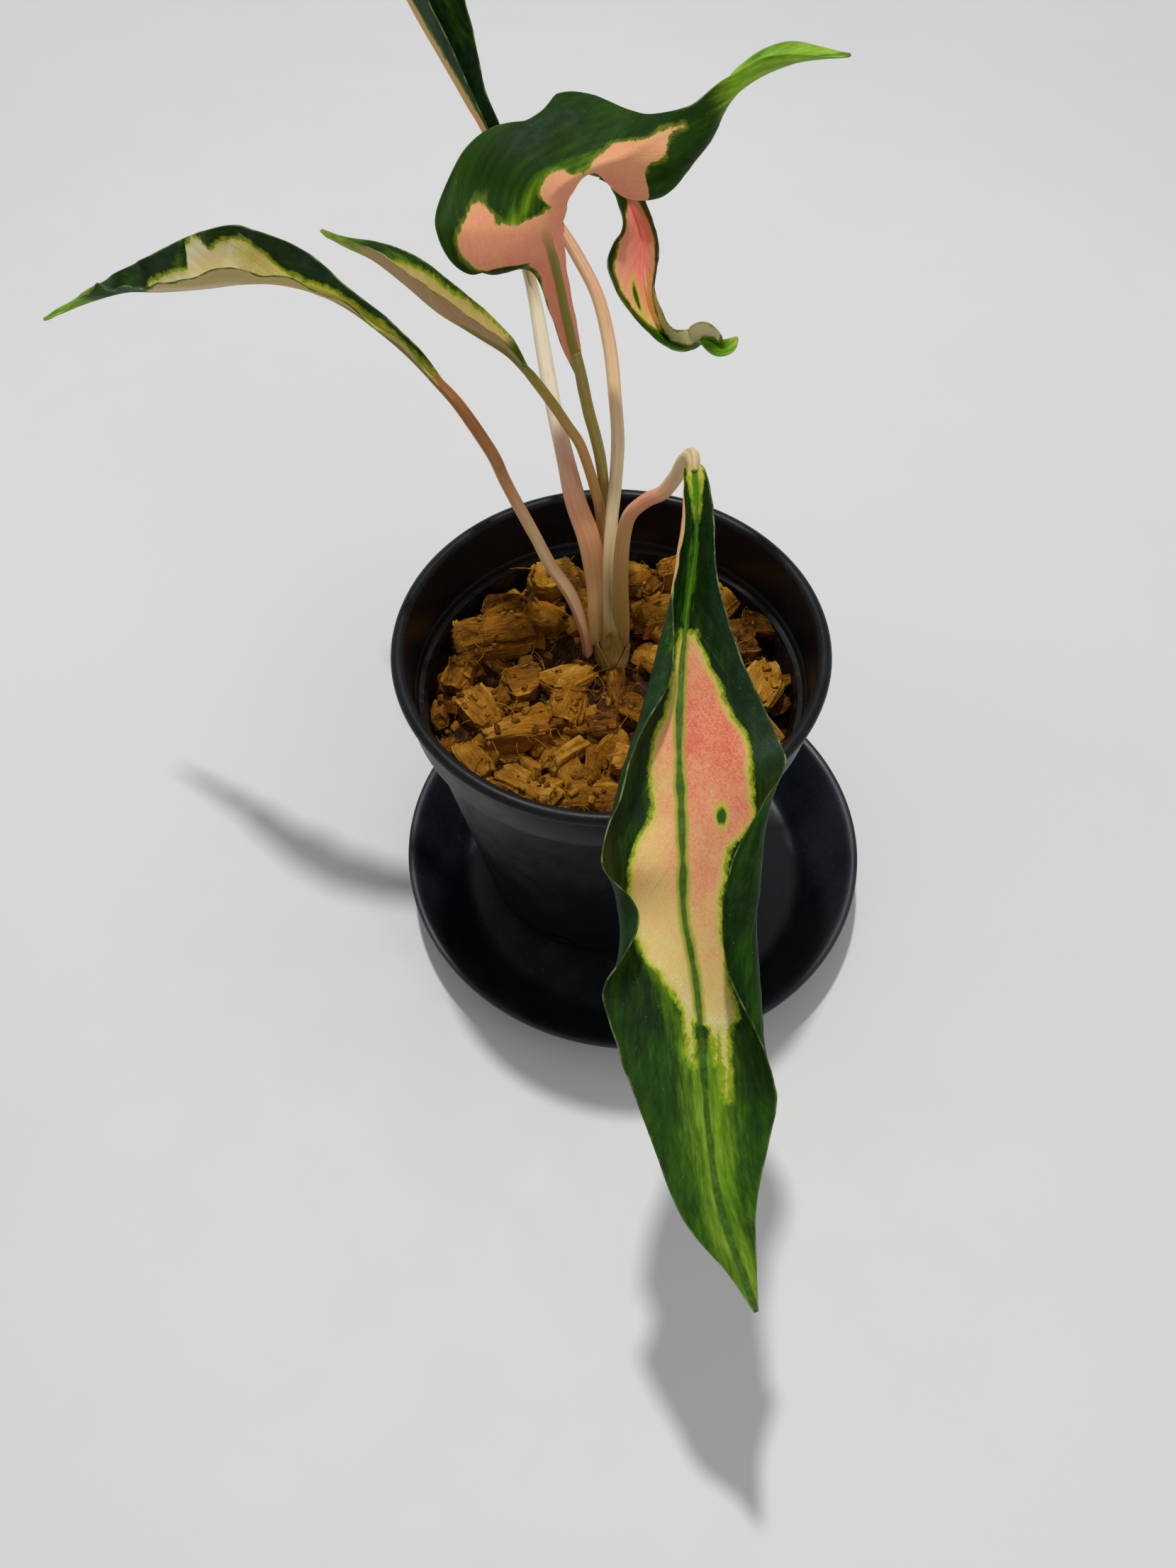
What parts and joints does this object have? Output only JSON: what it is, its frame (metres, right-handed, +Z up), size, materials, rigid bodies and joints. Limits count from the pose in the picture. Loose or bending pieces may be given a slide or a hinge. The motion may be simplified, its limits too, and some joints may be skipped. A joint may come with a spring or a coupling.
{
  "type": "potted aroid house plant",
  "caption": "Young Chinese evergreen with narrow twisted pink and green leaves in a black nursery pot of coir chips on a round saucer.",
  "frame": {"origin": "centre of the saucer's flat underside", "axes": "+Z up out of the pot, -Y towards the viewer of the picture and the long front leaf, +X to the viewer's right"},
  "size_m": [0.2372, 0.313, 0.2469],
  "materials": {
    "saucer_plastic": "satin near-black plastic",
    "pot_plastic": "satin near-black plastic with a soft sheen",
    "husk_fill": "dry coconut husk, matte",
    "husk_chips": "dry coconut husk chips, matte and fibrous",
    "cane": "smooth green cane, waxy",
    "leaf_stalk": "smooth cream and pink leaf stalk, waxy",
    "leaf_blade": "waxy leaf, dark green with pink, cream and yellow-green areas"
  },
  "bodies": {
    "root": {"saucer": "saucer_plastic", "pot": "pot_plastic", "husk_fill": "husk_fill", "husk_chip_01": "husk_chips", "husk_chip_02": "husk_chips", "husk_chip_03": "husk_chips", "husk_chip_04": "husk_chips", "husk_chip_05": "husk_chips", "husk_chip_06": "husk_chips", "husk_chip_07": "husk_chips", "husk_chip_08": "husk_chips", "husk_chip_09": "husk_chips", "husk_chip_10": "husk_chips", "husk_chip_11": "husk_chips", "husk_chip_12": "husk_chips", "husk_chip_13": "husk_chips", "husk_chip_14": "husk_chips", "husk_chip_15": "husk_chips", "husk_chip_16": "husk_chips", "husk_chip_17": "husk_chips", "husk_chip_18": "husk_chips", "husk_chip_19": "husk_chips", "husk_chip_20": "husk_chips", "husk_chip_21": "husk_chips", "husk_chip_22": "husk_chips", "husk_chip_23": "husk_chips", "husk_chip_24": "husk_chips", "husk_chip_25": "husk_chips", "husk_chip_26": "husk_chips", "husk_chip_27": "husk_chips", "husk_chip_28": "husk_chips", "cane_and_roots": "cane", "stalk_front": "leaf_stalk", "blade_front": "leaf_blade", "stalk_left": "leaf_stalk", "blade_left": "leaf_blade", "stalk_left_small": "leaf_stalk", "blade_left_small": "leaf_blade", "stalk_centre": "leaf_stalk", "blade_centre": "leaf_blade", "stalk_right": "leaf_stalk", "blade_right": "leaf_blade", "stalk_back": "leaf_stalk", "blade_back": "leaf_blade"}
  },
  "joints": []
}
